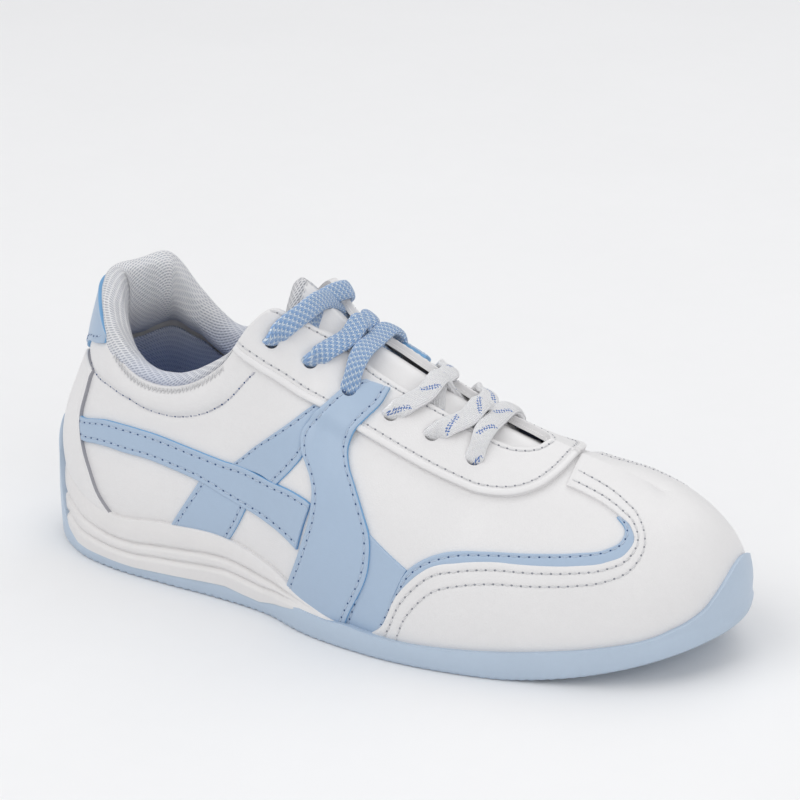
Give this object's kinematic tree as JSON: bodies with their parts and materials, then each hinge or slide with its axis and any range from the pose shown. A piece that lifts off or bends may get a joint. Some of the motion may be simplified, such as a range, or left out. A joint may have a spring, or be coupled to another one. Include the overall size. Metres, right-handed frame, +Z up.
{
  "type": "cheer shoe",
  "caption": "Low-cut cheerleading trainer for the right foot with a cupped sole, banded leather upper, padded collar, hinged tongue and two flat laces.",
  "frame": {"origin": "middle of the sole's plan box, on the ground", "axes": "+X towards the toe, +Y towards the inner side of the foot, +Z up"},
  "size_m": [0.2604, 0.1006, 0.1074],
  "materials": {
    "rubber_blue": "satin",
    "midsole_white": "matte foam",
    "board": "matte fibreboard",
    "lining_blue": "matte",
    "mesh_white": "matte mesh",
    "foam": "open foam",
    "aglet_plastic": "gloss",
    "lace_blue": "braided",
    "lace_white": "braided",
    "leather_blue": "smooth",
    "leather_white": "fine grain"
  },
  "bodies": {
    "shoe": {"aglet_blue_inner": "aglet_plastic", "aglet_blue_outer": "aglet_plastic", "aglet_white_inner": "aglet_plastic", "aglet_white_outer": "aglet_plastic", "backstay": "leather_white", "band_cross_inner": "leather_blue", "band_cross_outer": "leather_blue", "band_front_inner": "leather_blue", "band_front_outer": "leather_blue", "band_heel_inner": "leather_blue", "band_heel_outer": "leather_blue", "band_slant_low_inner": "leather_blue", "band_slant_low_outer": "leather_blue", "band_slant_top_inner": "leather_blue", "band_slant_top_outer": "leather_blue", "collar_pad": "mesh_white", "eyestay": "leather_white", "heel_counter": "board", "heel_piece_inner": "leather_white", "heel_piece_outer": "leather_white", "heel_tab": "leather_blue", "lace_blue": "lace_blue", "lace_white": "lace_white", "lasting_board": "board", "midsole": "midsole_white", "outsole": "rubber_blue", "quarter_inner": "leather_white", "quarter_lining": "lining_blue", "quarter_outer": "leather_white", "toe_cap": "leather_white", "toe_puff": "board", "toe_trim_inner": "leather_blue", "toe_trim_outer": "leather_blue", "vamp": "leather_white", "vamp_lining": "mesh_white"},
    "insole": {"insole": "lining_blue"},
    "tongue": {"tongue_shell": "leather_white", "tongue_foam": "foam", "tongue_lining": "mesh_white"}
  },
  "joints": [
    {"name": "insole_lift", "type": "hinge", "parent": "shoe", "child": "insole", "pos_m": [0.1206, 0, 0.0208], "axis": [0, 1, 0], "range_deg": [0, 3]},
    {"name": "tongue_hinge", "type": "hinge", "parent": "shoe", "child": "tongue", "pos_m": [0.062, 0, 0.051], "axis": [0, -1, 0], "range_deg": [0, 12]}
  ]
}
